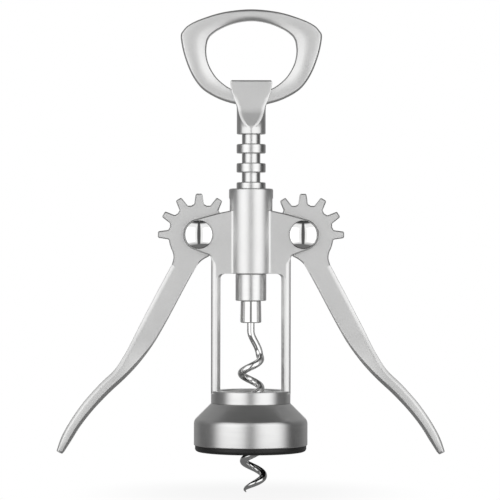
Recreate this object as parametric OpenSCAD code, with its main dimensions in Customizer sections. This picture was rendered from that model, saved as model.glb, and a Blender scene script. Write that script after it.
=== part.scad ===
// Wing corkscrew. A ring handle turns a wire worm inside a round rack, and two
// geared wings mesh with the rack and lift it. Sizes are in millimetres. The
// origin is the middle of the seat that stops on the bottle's mouth, +Z is up
// and the wings open in the XZ plane. The wings are drawn at their lower stop.

/* [Bell and bottle seat] */
// Diameter of the bottle mouth that the bell takes
bottle_d = 30; // [28.5:0.1:31]
// Play between the bottle mouth and the socket, on the radius
bottle_play = 0.5; // [0.3:0.1:1]
// Depth of the bottle socket above the foot
seat_depth = 10.7; // [8:0.1:12]
// Inset of the black foot from the skirt, on the radius
foot_in = 0.4; // [0.2:0.1:1]
// Height of the black foot below the skirt
foot_h = 2.2; // [1.6:0.1:3]
// Diameter of the brushed skirt
skirt_d = 40.2; // [39.8:0.1:44]
// Height of the skirt
skirt_h = 8.8; // [7:0.1:10]
// Height of the cone above the skirt
cone_h = 6.1; // [5.6:0.1:8]
// Wall of the skirt and the cone
bell_wall = 1.5; // [1.2:0.1:1.8]
// Thickness of the bell's floor, which carries the frame
bell_floor = 2.5; // [2:0.1:3]

/* [Frame] */
// Diameter of the frame's collar, and width over the posts
collar_d = 28.1; // [27:0.1:29]
// Height of the collar
collar_h = 4.4; // [4:0.1:6]
// Thickness of the collar's floor
collar_floor = 2; // [1.6:0.1:2.4]
// Height of the open window from the collar's rim to the barrel
window_h = 41.3; // [38:0.1:45]
// Width of the window between the posts
window_w = 21.6; // [20:0.1:22]
// Corner radius of the window
window_r = 1.8; // [1:0.1:3]
// Diameter of the barrel
barrel_d = 15.6; // [14.5:0.1:16]
// Barrel left whole below the side slots
barrel_foot = 1; // [0.8:0.1:2]
// Barrel left whole above the side slots
barrel_head = 3.5; // [2.5:0.1:5]
// Spare height of the side slots beyond the teeth's sweep
slot_spare = 2.9; // [1:0.05:3.5]
// Thickness of each ear plate
plate_t = 2.5; // [2:0.1:2.8]
// Radius of the ears about the wing pivots
ear_r = 5.5; // [5:0.1:6.5]
// Fall of the ears' upper edge, in degrees
ear_top_fall = 13.5; // [8:0.5:18]
// Rise of the ears' lower edge, in degrees
ear_low_rise = 20; // [12:0.5:26]
// Width of the bevel along each post's window edge
post_bevel = 1.5; // [0.8:0.1:2]

/* [Rack] */
// Distance from one rack groove to the next
rack_pitch = 6.75; // [6.5:0.05:7]
// Diameter of the rack rings
rack_d = 10.3; // [10:0.1:10.6]
// Diameter of the rack's core in the grooves
groove_d = 6.5; // [6:0.1:6.8]
// Thickness of a rack ring
ring_t = 3.3; // [3:0.05:3.4]
// Chamfer on the edges of the rack rings
ring_chamfer = 0.3; // [0.1:0.05:0.5]
// Rings above the pivots when the wings are down
rings_up = 5; // [5:1:5]
// Rings below the pivots when the wings are down
rings_down = 2; // [2:1:2]

/* [Spindle] */
// Diameter of the hidden rod that joins handle and worm
rod_d = 4; // [3.5:0.1:4.4]
// Depth of the rod's seat in the handle stem
rod_seat = 7; // [5:0.5:8]
// Overlap of the stop collar under the barrel, on the radius
stop_lap = 0.2; // [0.15:0.05:0.6]
// Height of the stop collar
stop_h = 9.5; // [7:0.1:12]
// Upper diameter of the worm collet
collet_top_d = 7.2; // [6.4:0.1:7.3]
// Lower diameter of the worm collet
collet_low_d = 7.5; // [7.2:0.1:8.2]
// Height of the worm collet
collet_h = 7.8; // [6.5:0.1:10]

/* [Worm] */
// Outer diameter of the worm
worm_d = 9.45; // [9:0.05:10]
// Diameter of the worm's wire
wire_d = 2.65; // [2.4:0.05:2.9]
// Rise of the worm in one turn
worm_pitch = 10.3; // [9:0.05:11]
// How far the point stands out below the foot
worm_reach = 14.5; // [5:0.1:20]
// Straight wire below the collet
worm_lead = 2.8; // [1:0.1:5]
// Height over which the wire leaves the axis and reaches its full radius
worm_ease = 8; // [6:0.5:12]
// Length of wire held in the collet
worm_grip = 2; // [1.5:0.1:3]

/* [Handle] */
// Diameter of the handle stem
stem_d = 10.2; // [9.6:0.1:10.2]
// Height of the stem up to the ring
stem_h = 9.85; // [8:0.05:14]
// Width of the handle ring
ring_w = 49.9; // [44:0.1:54]
// Height of the handle ring
ring_h = 34.2; // [31:0.1:38]
// Width of the finger opening
hole_w = 31.9; // [28:0.1:34]
// Height of the finger opening
hole_h = 25.3; // [22:0.1:27]
// Thickness of the ring at its sides
grip_t = 6.4; // [5:0.1:8]
// Thickness of the ring beside the opener
grip_low_t = 3.4; // [3:0.1:4]
// Width of the cap-lifter lip
lip_w = 14.9; // [12:0.1:17]
// Height of the lip's edge above the ring's lowest point
lip_rise = 9.2; // [7:0.1:11]
// Thickness of the lip
lip_t = 4.2; // [3.6:0.1:4.8]
// Height of the flat faces from the lip's edge to the stem's hollows
lip_flat = 8.05; // [6:0.05:9]
// Height over which a hollow bends out of the flat face
hollow_bend = 4; // [2:0.1:6]
// Slope of the hollows' lower ends, in degrees from the stem's side
hollow_fall = 24.2; // [22:0.1:30]

/* [Wings] */
// Thickness of the wing plates
wing_t = 3.2; // [3:0.1:3.6]
// Teeth height outside the pitch circle
addendum = 1.6; // [1.4:0.05:1.7]
// Teeth depth inside the pitch circle
dedendum = 2.3; // [2:0.05:2.6]
// Width of a tooth at its root
tooth_root_w = 3.25; // [3:0.05:3.3]
// Width of a tooth at its tip
tooth_tip_w = 2.44; // [2.2:0.02:2.6]
// Rounding of the tooth tips
tooth_round = 0.5; // [0.3:0.05:0.8]
// Gap between a tooth tip and the rack's core
tip_gap = 0.65; // [0.5:0.05:0.9]
// Radius of the hub below the teeth
hub_r = 8; // [7:0.1:9]
// Reach of an arm's tip sideways from its pivot
arm_reach = 48.6; // [44:0.1:52]
// Drop of an arm's tip below its pivot
arm_drop = 76.6; // [70:0.1:80]
// Width of an arm's flat part
arm_w = 7.4; // [6:0.1:8.4]
// Greatest width of the grips, front to back
grip_w = 12; // [9:0.5:15]
// Diameter of the pivot pins
pin_d = 4; // [3:0.1:5]
// Diameter of the pivots' domed caps
cap_d = 9.9; // [8:0.1:10.6]
// Height of the domed caps
cap_h = 1.9; // [1.6:0.1:3]
// Diameter of the pins' heads at the back
head_d = 7.2; // [6:0.1:9]
// Height of the pins' heads
head_h = 1.4; // [1:0.1:2]
// Diameter of the thin washers
washer_d = 9; // [7:0.1:10]

/* [Screws] */
// Diameter of the two bell screws
screw_d = 2.5; // [2:0.1:3]
// Distance of the screws from the axis
screw_x = 8.6; // [8.2:0.1:8.8]
// Head diameter of the screws
screw_head_d = 4.6; // [4:0.1:5]
// Depth of the heads' straight rims in the seat
head_sink = 0.5; // [0.3:0.1:0.8]

/* [Clearances] */
// Gap around parts that turn or slide, on the radius
run_clear = 0.05; // [0.03:0.01:0.08]
// Gap around the rack in the barrel, on the radius
bore_clear = 0.1; // [0.06:0.01:0.1]
// Gap around parts that are fixed, on the radius
fit_clear = 0.02; // [0.01:0.01:0.04]
// Gap between faces that rest on each other
face_clear = 0.05; // [0.02:0.01:0.06]
// Gap around the worm in its guide, on the radius
guide_clear = 0.8; // [0.6:0.1:1.1]
// Gap on each side of a wing, which the washer fills
side_gap = 0.4; // [0.35:0.05:0.5]

/* [Hidden] */
$fn = 64;

// Room beyond a cut's faces
over = 1;

// Diameter of the black foot
foot_d = skirt_d - 2 * foot_in;

// Levels, from the foot up
foot_z = -seat_depth;
skirt_z = foot_z + foot_h;
cone_z = skirt_z + skirt_h;
collar_z = cone_z + cone_h;
rim_z = collar_z + collar_h;
barrel_z = rim_z + window_h;

// Pinions: twelve teeth to a full turn, of which each wing carries seven
teeth_per_turn = 12;
tooth_step = 360 / teeth_per_turn;
wing_teeth = 7;
pitch_r = rack_pitch * teeth_per_turn / (2 * PI);
tip_r = pitch_r + addendum;
root_r = pitch_r - dedendum;
// The root circle ends this far below the first and the last tooth, in degrees
rim_run = 35;
pivot_x = groove_d / 2 + tip_gap + tip_r;
slot_half_h = sqrt(pow(tip_r, 2) - pow(pivot_x - barrel_d / 2, 2)) + slot_spare;
slot_half_w = wing_t / 2 + side_gap;
pivot_z = barrel_z + barrel_foot + slot_half_h;
barrel_top = pivot_z + slot_half_h + barrel_head;
plate_y = slot_half_w + plate_t;
post_top = pivot_z - tip_r - 2 * side_gap;

// Rack, from the stop collar to the handle
rack_low = barrel_z + 4 * face_clear;
rack_top = pivot_z + (rings_up - 0.5) * rack_pitch + ring_t / 2 + (rack_pitch - ring_t);
barrel_bore = rack_d + 2 * bore_clear;
stem_z = rack_top + face_clear;
ring_z = stem_z + stem_h;
stop_top = barrel_z - face_clear;
stop_low = stop_top - stop_h;
collet_top = stop_low;
collet_low = collet_top - collet_h;
rod_low = collet_low + worm_grip + 2 * face_clear;

// Worm: a right-hand helix that ends in a ground point
worm_steps = 20;
worm_sides = 8;
helix_r = (worm_d - wire_d) / 2;
guide_r = worm_d / 2 + guide_clear;
worm_tip_z = foot_z - worm_reach;
worm_top_z = collet_low + worm_grip;
worm_axis_z = collet_low - worm_lead;
worm_join_z = worm_axis_z - 1.25 * worm_ease;
// Angle of the point, counted from +X
worm_tip_angle = -209;
// Angle that the wire still turns through between the helix and the axis
lead_turn = 35;
// Turns over which the point is ground, and its blunt share of the wire
point_turns = 0.55;
point_blunt = 0.16;

// Half of the ring's outline and of its opening, bottom to top, as shares of
// half the width and of the height
ring_outline = [
    [0, 0], [0.22, 0.023], [0.443, 0.072], [0.657, 0.158], [0.781, 0.254], [0.882, 0.387],
    [0.962, 0.556], [1, 0.717], [0.966, 0.779], [0.883, 0.839], [0.702, 0.902], [0.387, 0.971], [0, 1]
];
hole_outline = [
    [0, 0], [0.283, 0.016], [0.502, 0.067], [0.714, 0.168], [0.848, 0.272], [0.955, 0.408],
    [1, 0.563], [0.981, 0.695], [0.946, 0.754], [0.884, 0.803], [0.71, 0.88], [0.393, 0.963], [0, 1]
];
// Section of the ring: share of the way from outside to opening, share of half the thickness
ring_section = [
    [0, -0.45], [0.1, -0.8], [0.3, -1], [0.7, -1], [0.88, -0.75], [1, -0.4],
    [1, 0.4], [0.88, 0.75], [0.7, 1], [0.3, 1], [0.1, 0.8], [0, 0.45]
];
ring_steps = 3;
// Opening's lowest point above the ring's, and the level at which the lip starts
hole_base = 0.56 * (ring_h - hole_h);
lip_root = hole_base / 2;

// Middle line of an arm from its pivot, as shares of the arm's reach, drop and width, and
// the share of the way from the plate's thickness to the grip's depth
arm_line = [
    [0.065, 0.068, 1.39, 0], [0.107, 0.138, 1.09, 0], [0.158, 0.2, 1.06, 0], [0.225, 0.28, 1.06, 0],
    [0.308, 0.38, 1.05, 0], [0.385, 0.47, 1, 0.05], [0.446, 0.535, 0.88, 0.25],
    [0.505, 0.59, 0.76, 0.5], [0.576, 0.645, 0.64, 0.72], [0.684, 0.71, 0.62, 0.88],
    [0.8, 0.79, 0.58, 1], [0.894, 0.87, 0.52, 1], [0.959, 0.94, 0.47, 1], [1.005, 1, 0.31, 0.85]
];
arm_steps = 3;
arm_chamfer = 0.28;

// Web between the rim and the left wing's arm, down its outer side and up its inner one, as
// shares of the root radius
web_outline = [
    [0, 0], [-1, -0.19], [-0.972, -0.34], [-0.93, -0.463], [-0.878, -0.576], [-0.852, -0.689],
    [-0.847, -0.774], [-0.864, -0.869], [-0.906, -1], [-0.4, -1.3], [-0.192, -1.265],
    [-0.124, -1.128], [-0.039, -0.994], [0.022, -0.928], [0.098, -0.861], [0.197, -0.794],
    [0.321, -0.732], [0.434, -0.623]
];

// Catmull-Rom curve through four points, at t from the second to the third
function curve(a, b, c, d, t) =
    0.5 * (2 * b + (c - a) * t + (2 * a - 5 * b + 4 * c - d) * pow(t, 2)
    + (3 * b - a - 3 * c + d) * pow(t, 3));

// Smooth open curve through points, with steps between each two
function open_curve(p, steps) = [
    for (i = [0 : len(p) - 2], k = [0 : steps - 1])
        curve(p[max(i - 1, 0)], p[i], p[i + 1], p[min(i + 2, len(p) - 1)], k / steps),
    p[len(p) - 1]
];

// Smooth closed curve through points
function closed_curve(p, steps) = let (n = len(p)) [
    for (i = [0 : n - 1], k = [0 : steps - 1])
        curve(p[(i + n - 1) % n], p[i], p[(i + 1) % n], p[(i + 2) % n], k / steps)
];

function mix(a, b, t) = a + (b - a) * t;
function clamp01(t) = max(0, min(1, t));
function smooth(t) = let (s = clamp01(t)) s * s * (3 - 2 * s);
function flat(rows) = [for (row = rows, p = row) p];

// Side triangles between rings of m points; a closed run joins its last ring to its first
function side_faces(n, m, closed) = [
    for (i = [0 : n - (closed ? 1 : 2)], j = [0 : m - 1])
        let (
            a = i * m + j,
            b = i * m + (j + 1) % m,
            c = ((i + 1) % n) * m + (j + 1) % m,
            d = ((i + 1) % n) * m + j
        )
        each [[a, b, c], [a, c, d]]
];

// Closed solid through a row of point rings
module loft(rings, closed = false) {
    n = len(rings);
    m = len(rings[0]);
    caps = closed ? [] : [
        for (j = [1 : m - 2]) [0, j + 1, j],
        for (j = [1 : m - 2]) [(n - 1) * m, (n - 1) * m + j, (n - 1) * m + j + 1]
    ];
    polyhedron(points = flat(rings), faces = concat(side_faces(n, m, closed), caps), convexity = 8);
}

// ---- Spindle -------------------------------------------------------------

// Points of the whole handle ring: outline x and z, opening x and z, half thickness
function ring_point(i, side) = [
    side * ring_outline[i][0] * ring_w / 2,
    ring_outline[i][1] * ring_h,
    side * hole_outline[i][0] * hole_w / 2,
    hole_base + hole_outline[i][1] * hole_h,
    mix(grip_low_t, grip_t, smooth((ring_outline[i][1] - 0.05) / 0.4)) / 2
];

module handle_ring() {
    last = len(ring_outline) - 1;
    loop = concat(
        [for (i = [0 : last]) ring_point(i, 1)],
        [for (i = [last - 1 : -1 : 1]) ring_point(i, -1)]
    );
    loft([
        for (s = closed_curve(loop, ring_steps))
            [for (q = ring_section) [mix(s[0], s[2], q[0]), q[1] * s[4], mix(s[1], s[3], q[0])]]
    ], closed = true);
}

// Half the depth of stem and lip at a drop below the lip's flat faces
function hollow_depth(drop) = lip_t / 2 + tan(hollow_fall)
    * (drop < hollow_bend ? pow(max(drop, 0), 2) / (2 * hollow_bend) : drop - hollow_bend / 2);

// Round stem whose front and back hollow out towards the lip
module handle_stem() {
    top = stem_h + lip_rise - lip_flat;
    drops = [-lip_flat + over, for (k = [0 : 8]) k / 8 * hollow_bend, top];
    intersection() {
        cylinder(d = stem_d, h = stem_h + lip_rise - over);
        rotate([90, 0, 90]) linear_extrude(stem_d + over, center = true) polygon([
            for (d = drops) [hollow_depth(d), top - d],
            for (i = [len(drops) - 1 : -1 : 0]) [-hollow_depth(drops[i]), top - drops[i]]
        ]);
    }
}

module handle() {
    color("silver") difference() {
        union() {
            translate([0, 0, ring_z]) handle_ring();
            translate([0, 0, stem_z]) handle_stem();
            translate([-lip_w / 2, -lip_t / 2, ring_z + lip_root])
                cube([lip_w, lip_t, lip_rise - lip_root]);
        }
        translate([0, 0, stem_z - over])
            cylinder(d = rod_d + 2 * fit_clear, h = rod_seat + over);
    }
}

module rack_ring() {
    rotate_extrude() polygon([
        [0, -ring_t / 2], [rack_d / 2 - ring_chamfer, -ring_t / 2],
        [rack_d / 2, -ring_t / 2 + ring_chamfer], [rack_d / 2, ring_t / 2 - ring_chamfer],
        [rack_d / 2 - ring_chamfer, ring_t / 2], [0, ring_t / 2]
    ]);
}

module rack_shaft() {
    color("gainsboro") difference() {
        union() {
            translate([0, 0, rack_low]) cylinder(d = groove_d, h = rack_top - rack_low);
            for (i = [-rings_down : rings_up - 1])
                translate([0, 0, pivot_z + (i + 0.5) * rack_pitch]) rack_ring();
        }
        translate([0, 0, rack_low - over])
            cylinder(d = rod_d + 2 * run_clear, h = rack_top - rack_low + 2 * over);
    }
}

module spindle_rod() {
    color("gray") translate([0, 0, rod_low])
        cylinder(d = rod_d, h = stem_z + rod_seat - face_clear - rod_low);
}

module stop_collar() {
    color("lightgray") translate([0, 0, stop_low]) difference() {
        cylinder(d = barrel_bore + 2 * stop_lap, h = stop_h);
        translate([0, 0, -over]) cylinder(d = rod_d + 2 * fit_clear, h = stop_h + 2 * over);
    }
}

module worm_collet() {
    color("white") difference() {
        translate([0, 0, collet_low])
            cylinder(d1 = collet_low_d, d2 = collet_top_d, h = collet_h - face_clear);
        translate([0, 0, collet_low - over])
            cylinder(d = wire_d + 2 * fit_clear, h = worm_grip + 2 * over);
        translate([0, 0, rod_low - face_clear])
            cylinder(d = rod_d + 2 * fit_clear, h = collet_h);
    }
}

// Angle, radius and middle of the worm's wire at ring i
worm_rings = ceil((worm_top_z - worm_tip_z) / worm_pitch * worm_steps);
function worm_z(i) = mix(worm_tip_z, worm_top_z, i / worm_rings);
function helix_angle(z) = worm_tip_angle + 360 * (z - worm_tip_z) / worm_pitch;
function worm_angle(i) =
    let (a = helix_angle(worm_z(i)), join = helix_angle(worm_join_z))
    a < join ? a : join + lead_turn * (1 - exp((join - a) / lead_turn));
function worm_r(i) = helix_r * smooth((worm_axis_z - worm_z(i)) / worm_ease);
function worm_mid(i) = [worm_r(i) * cos(worm_angle(i)), worm_r(i) * sin(worm_angle(i)), worm_z(i)];
function wire_r(i) = wire_d / 2
    * mix(point_blunt, 1, smooth(i / (point_turns * worm_steps) / 2 + 0.5) * 2 - 1);

// Ring i of the wire, square to its run
function worm_ring(i) =
    let (
        along = worm_mid(min(i + 1, worm_rings)) - worm_mid(max(i - 1, 0)),
        t = i > worm_rings - 3 ? [0, 0, 1] : along / norm(along),
        out = [cos(worm_angle(i)), sin(worm_angle(i)), 0],
        across = out - t * (out * t),
        u = across / norm(across),
        v = cross(t, u)
    )
    [for (k = [0 : worm_sides - 1])
        let (a = -360 * k / worm_sides) worm_mid(i) + wire_r(i) * (cos(a) * u + sin(a) * v)];

module worm() {
    color("white") loft([for (i = [0 : worm_rings]) worm_ring(i)]);
}

// Least gap between one turn of the wire and the next
worm_gap = min([
    for (i = [0 : worm_rings], j = [i + worm_steps / 2 : worm_rings])
        norm(worm_mid(i) - worm_mid(j)) - wire_d
]);
echo(worm_gap = worm_gap);

// ---- Frame and bell ------------------------------------------------------

// Right half of an ear plate, from below the barrel up
module plate_half() {
    post_x = collar_d / 2;
    low = [pivot_x + ear_r * sin(ear_low_rise), pivot_z - ear_r * cos(ear_low_rise)];
    high = [pivot_x + ear_r * sin(ear_top_fall), pivot_z + ear_r * cos(ear_top_fall)];
    polygon([
        [0, post_top - over], [post_x, post_top - over],
        [post_x, low[1] - (low[0] - post_x) * tan(ear_low_rise)],
        low, [pivot_x, pivot_z], high,
        [0, high[1] + high[0] * tan(ear_top_fall)]
    ]);
    translate([pivot_x, pivot_z]) circle(r = ear_r);
}

// Window with two round upper corners
module window_outline() {
    half = window_w / 2;
    translate([-half, rim_z]) square([window_w, window_h - window_r]);
    translate([window_r - half, rim_z]) square([window_w - 2 * window_r, window_h]);
    for (side = [-1, 1])
        translate([side * (half - window_r), barrel_z - window_r]) circle(r = window_r);
}

module ear_plate() {
    rotate([90, 0, 0]) linear_extrude(plate_t) difference() {
        union() {
            plate_half();
            mirror([1, 0]) plate_half();
        }
        window_outline();
    }
}

// Section of the right post, bevelled along the window
module post_section() {
    in = window_w / 2;
    out = collar_d / 2;
    edge = plate_y / 5;
    polygon([
        [in, -plate_y + post_bevel], [in + post_bevel, -plate_y], [out - edge, -plate_y + edge / 4],
        [out, -plate_y + edge], [out, plate_y - edge], [out - edge, plate_y - edge / 4],
        [in + post_bevel, plate_y], [in, plate_y - post_bevel]
    ]);
}

module screw_holes(d, z, h) {
    for (side = [-1, 1]) translate([side * screw_x, 0, z]) cylinder(d = d, h = h);
}

module frame_body() {
    translate([0, 0, barrel_z]) cylinder(d = barrel_d, h = barrel_top - barrel_z);
    translate([0, plate_y, 0]) ear_plate();
    translate([0, -slot_half_w, 0]) ear_plate();
    for (side = [0, 1]) mirror([side, 0, 0])
        translate([0, 0, rim_z - over]) linear_extrude(post_top - rim_z + over) post_section();
    translate([0, 0, collar_z]) cylinder(d = collar_d, h = collar_h);
}

module frame() {
    color("lightgray") difference() {
        frame_body();
        translate([0, 0, barrel_z - over])
            cylinder(d = barrel_bore, h = barrel_top - barrel_z + 2 * over);
        translate([-pivot_x, -slot_half_w, pivot_z - slot_half_h])
            cube([2 * pivot_x, 2 * slot_half_w, 2 * slot_half_h]);
        translate([0, 0, collar_z + collar_floor]) cylinder(d = window_w, h = collar_h);
        translate([0, 0, collar_z - over]) cylinder(r = guide_r, h = collar_h);
        screw_holes(screw_d + 2 * fit_clear, collar_z - over, collar_h);
        for (side = [-1, 1]) translate([side * pivot_x, plate_y + over, pivot_z])
            rotate([90, 0, 0]) cylinder(d = pin_d + 2 * fit_clear, h = 2 * (plate_y + over));
    }
}

// Inner cone of the bell, parallel to the outer one
cone_slope = (skirt_d - collar_d) / 2 / cone_h;
cone_wall = bell_wall * sqrt(1 + pow(cone_slope, 2));
floor_z = collar_z - face_clear - bell_floor;
inner_cone_z = cone_z - (cone_wall - bell_wall) / cone_slope;
inner_floor_r = skirt_d / 2 - bell_wall - (floor_z - inner_cone_z) * cone_slope;

module bell() {
    color("silver") difference() {
        rotate_extrude($fn = 96) polygon([
            [guide_r, collar_z - face_clear], [guide_r, floor_z], [inner_floor_r, floor_z],
            [skirt_d / 2 - bell_wall, inner_cone_z], [skirt_d / 2 - bell_wall, skirt_z],
            [skirt_d / 2, skirt_z], [skirt_d / 2, cone_z], [collar_d / 2, collar_z - face_clear]
        ]);
        screw_holes(screw_d + 2 * fit_clear, floor_z - over, bell_floor + 2 * over);
    }
}

// Black insert: foot, bottle socket and the seat on the bottle's mouth
socket_r = bottle_d / 2 + bottle_play;
liner_r = skirt_d / 2 - bell_wall - fit_clear * 5;
liner_top = floor_z - face_clear;
liner_edge = 0.3 * foot_h;
mouth_chamfer = 0.4 * foot_h;

module neck_liner() {
    color("#202020") difference() {
        rotate_extrude($fn = 96) polygon([
            [guide_r, liner_top], [guide_r, 0], [socket_r, 0],
            [socket_r, foot_z + mouth_chamfer], [socket_r + mouth_chamfer, foot_z],
            [foot_d / 2 - liner_edge, foot_z], [foot_d / 2, foot_z + liner_edge],
            [foot_d / 2, skirt_z - face_clear], [liner_r, skirt_z - face_clear],
            [liner_r, inner_cone_z - face_clear],
            [inner_floor_r - fit_clear * 5, liner_top]
        ]);
        screw_holes(screw_d + 2 * fit_clear, -over, liner_top + 2 * over);
        for (side = [-1, 1]) translate([side * screw_x, 0, -over])
            cylinder(d = screw_head_d + 2 * fit_clear, h = over + head_sink + fit_clear);
        for (side = [-1, 1]) translate([side * screw_x, 0, head_sink + fit_clear])
            cylinder(d1 = screw_head_d + 2 * fit_clear, d2 = screw_d + 2 * fit_clear,
                h = (screw_head_d - screw_d) / 2);
    }
}

module bell_screws() {
    color("dimgray") for (side = [-1, 1]) translate([side * screw_x, 0, 0]) {
        translate([0, 0, face_clear]) cylinder(d = screw_head_d, h = head_sink - face_clear);
        translate([0, 0, head_sink])
            cylinder(d1 = screw_head_d, d2 = screw_d, h = (screw_head_d - screw_d) / 2);
        translate([0, 0, head_sink])
            cylinder(d = screw_d, h = collar_z + collar_floor - 4 * face_clear - head_sink);
    }
}

// ---- Wings ---------------------------------------------------------------

// One tooth, pointing along +X from the pivot
module tooth() {
    half = tooth_tip_w / 2;
    polygon([
        [root_r - over, -tooth_root_w / 2], [root_r, -tooth_root_w / 2],
        for (a = [-90 : 30 : 0]) [tip_r + tooth_round * (cos(a) - 1), -half + tooth_round * (1 + sin(a))],
        for (a = [0 : 30 : 90]) [tip_r + tooth_round * (cos(a) - 1), half + tooth_round * (sin(a) - 1)],
        [root_r, tooth_root_w / 2], [root_r - over, tooth_root_w / 2]
    ]);
}

// Hub, web, toothed rim and teeth
module pinion() {
    circle(r = hub_r);
    polygon(root_r * web_outline);
    difference() {
        circle(r = root_r);
        polygon([[0, 0], for (a = [-rim_run, -90, rim_run - 180]) 2 * root_r * [cos(a), sin(a)]]);
    }
    for (i = [0 : wing_teeth - 1]) rotate(i * tooth_step) tooth();
}

// Arm from the hub to the tip of the grip, for the left wing about its pivot
module arm() {
    line = open_curve([
        for (q = arm_line)
            [-q[0] * arm_reach, -q[1] * arm_drop, q[2] * arm_w, mix(wing_t, grip_w, q[3])]
    ], arm_steps);
    last = len(line) - 1;
    loft([for (i = [0 : last])
        let (
            p = line[i],
            along = line[min(i + 1, last)] - line[max(i - 1, 0)],
            n = [-along[1], along[0]] / norm([along[0], along[1]]),
            w = p[2] / 2,
            d = p[3] / 2,
            c = min(arm_chamfer * p[2], d / 2)
        )
        [for (q = [[-w, c - d], [c - w, -d], [w - c, -d], [w, c - d],
                   [w, d - c], [w - c, d], [c - w, d], [-w, d - c]])
            [p[0] + n[0] * q[0], q[1], p[1] + n[1] * q[0]]]
    ]);
}

// Left wing about its own pivot
module wing() {
    difference() {
        union() {
            rotate([90, 0, 0]) linear_extrude(wing_t, center = true) pinion();
            arm();
        }
        rotate([90, 0, 0]) cylinder(d = pin_d + 2 * run_clear, h = wing_t + 2 * over, center = true);
    }
}

module left_lever() {
    color("silver") translate([-pivot_x, 0, pivot_z]) wing();
}

module right_lever() {
    color("silver") translate([pivot_x, 0, pivot_z]) mirror([1, 0, 0]) wing();
}

// Pin through both plates, with a flat head behind; its front end enters the cap
module pivot_pin(x) {
    cap_seat = 0.4 * cap_h;
    color("gray") translate([x, 0, pivot_z]) rotate([-90, 0, 0]) {
        translate([0, 0, -plate_y - cap_seat]) cylinder(d = pin_d, h = 2 * plate_y + cap_seat + head_h / 2);
        translate([0, 0, plate_y + face_clear]) cylinder(d = head_d, h = head_h);
    }
}

module left_pivot_pin() { pivot_pin(-pivot_x); }
module right_pivot_pin() { pivot_pin(pivot_x); }

// Polished dome over the pin's front end
module pivot_cap(x) {
    dome_r = (pow(cap_d / 2, 2) + pow(cap_h, 2)) / (2 * cap_h);
    color("white") translate([x, -plate_y - face_clear, pivot_z]) rotate([90, 0, 0]) difference() {
        intersection() {
            translate([0, 0, cap_h - dome_r]) sphere(r = dome_r);
            cylinder(d = cap_d + over, h = cap_h + over);
        }
        translate([0, 0, -over]) cylinder(d = pin_d + 2 * fit_clear, h = over + 0.4 * cap_h);
    }
}

module left_pivot_cap() { pivot_cap(-pivot_x); }
module right_pivot_cap() { pivot_cap(pivot_x); }

// Thin washer between a wing and a plate; side is -1 in front and 1 behind
module washer(x, side) {
    thick = side_gap - 2 * fit_clear;
    color("darkgray") translate([x, side * (wing_t + side_gap) / 2, pivot_z]) rotate([90, 0, 0])
        difference() {
            cylinder(d = washer_d, h = thick, center = true);
            cylinder(d = pin_d + 2 * fit_clear, h = side_gap + over, center = true);
        }
}

module left_front_washer() { washer(-pivot_x, -1); }
module left_back_washer() { washer(-pivot_x, 1); }
module right_front_washer() { washer(pivot_x, -1); }
module right_back_washer() { washer(pivot_x, 1); }

handle();
rack_shaft();
spindle_rod();
stop_collar();
worm_collet();
worm();
frame();
bell();
neck_liner();
bell_screws();
left_lever();
right_lever();
left_pivot_pin();
right_pivot_pin();
left_pivot_cap();
right_pivot_cap();
left_front_washer();
left_back_washer();
right_front_washer();
right_back_washer();
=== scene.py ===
# %% [markdown]
# # A wing corkscrew in satin metal
#
# A wing corkscrew is a rack and two pinions that fit in one hand. Its engineering
# model, with the joints, comes in as a fixed frame. This lesson gives that frame
# its looks: each part is modelled again in the same place and at the same size,
# with rounded edges and fine forms, and gets the finish of the real metal.

# %% Load the frame
import math
from contextlib import contextmanager

import bmesh
import bpy
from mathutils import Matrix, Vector, kdtree


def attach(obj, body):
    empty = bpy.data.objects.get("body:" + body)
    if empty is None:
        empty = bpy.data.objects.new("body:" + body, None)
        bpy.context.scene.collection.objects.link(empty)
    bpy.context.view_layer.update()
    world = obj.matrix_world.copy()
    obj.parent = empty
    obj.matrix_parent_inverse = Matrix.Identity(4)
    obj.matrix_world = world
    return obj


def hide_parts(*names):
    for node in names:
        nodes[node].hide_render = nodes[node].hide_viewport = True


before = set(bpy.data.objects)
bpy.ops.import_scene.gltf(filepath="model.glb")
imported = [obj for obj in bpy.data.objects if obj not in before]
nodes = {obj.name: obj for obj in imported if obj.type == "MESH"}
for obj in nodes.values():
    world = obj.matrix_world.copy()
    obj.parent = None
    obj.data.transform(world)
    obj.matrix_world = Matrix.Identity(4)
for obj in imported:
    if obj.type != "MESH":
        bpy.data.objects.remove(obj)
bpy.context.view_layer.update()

MM = 0.001
print("frame:", sorted(nodes))

# %% [markdown]
# ## The camera
#
# The picture is taken square from the front with a long lens, which keeps the two
# wings equal. An orthographic camera would be simpler, but then the bell and the
# ring would lose the last bit of perspective that shows their depth. So this is a
# perspective camera nearly a metre away, rolled by a tenth of a degree, because a
# tool that stands on its point is never quite upright.

# %% Camera
CAMERA_AT = Vector((-0.35, -900, 60.5)) * MM
CAMERA_ROLL, LENS, SENSOR = -0.1, 183.2, 36
bpy.ops.object.camera_add(location=CAMERA_AT, rotation=(math.radians(90), math.radians(CAMERA_ROLL), 0))
camera = bpy.context.object
camera.name = "camera"
camera.data.lens, camera.data.sensor_width = LENS, SENSOR
camera.data.clip_start, camera.data.clip_end = 0.05, 30
bpy.context.scene.camera = camera
bpy.context.scene.view_settings.view_transform = "Standard"
print("camera", [round(c / MM) for c in CAMERA_AT], "mm, lens", camera.data.lens)


# %% [markdown]
# ## Shader maths as plain expressions
#
# A material is a graph of nodes, and a graph is hard to read as code. One small
# class wraps a node's output and gives it Python's operators, so that a line
# such as `1 - mask * 0.4` adds its Math nodes by itself. Every other node comes
# from one method, `add`.

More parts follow.
